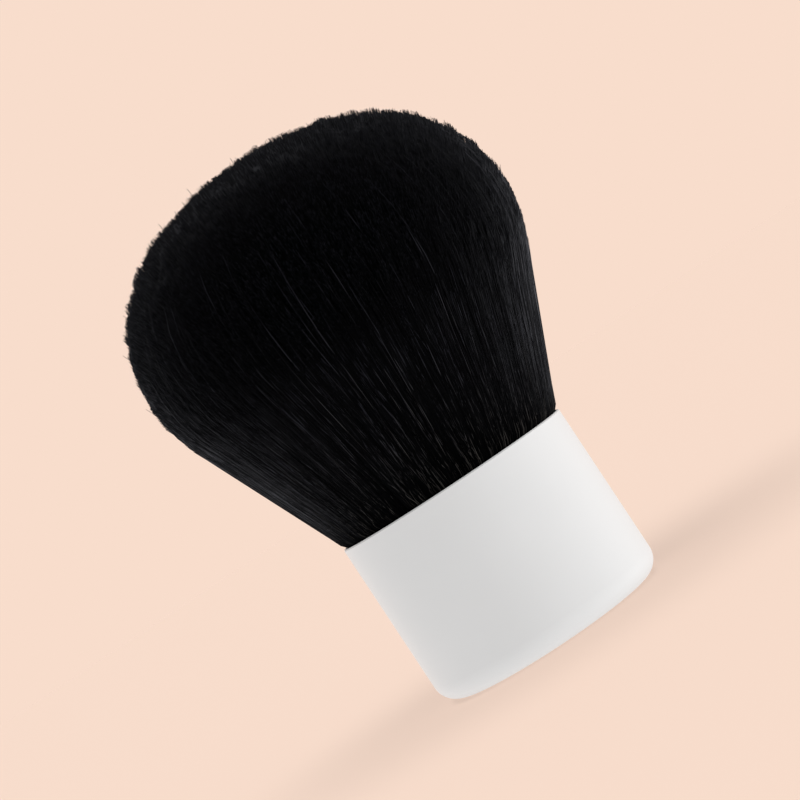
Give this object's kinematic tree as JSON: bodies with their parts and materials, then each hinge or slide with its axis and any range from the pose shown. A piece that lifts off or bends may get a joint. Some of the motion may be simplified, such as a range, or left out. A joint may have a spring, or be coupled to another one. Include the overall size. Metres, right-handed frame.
{
  "type": "kabuki brush",
  "caption": "Short makeup brush with a flared, domed head of dense dark hair potted in a squat white cylindrical cup that stands on its flat base.",
  "frame": {"origin": "centre of the flat base of the handle", "axes": "+Z along the axis of the brush, from the base to the tips of the hair"},
  "size_m": [0.0524, 0.0524, 0.071],
  "materials": {
    "white_lacquer": "satin",
    "plug_plastic": "moulded",
    "ferrule_metal": "drawn",
    "cured_resin": "cast",
    "waxed_thread": "waxed",
    "black_hair": "fine synthetic filament"
  },
  "bodies": {
    "root": {"handle_shell": "white_lacquer", "core_plug": "plug_plastic", "ferrule_sleeve": "ferrule_metal", "adhesive_ring": "cured_resin", "resin_plug": "cured_resin", "binding_thread": "waxed_thread", "bristle_knot": "black_hair"}
  },
  "joints": []
}
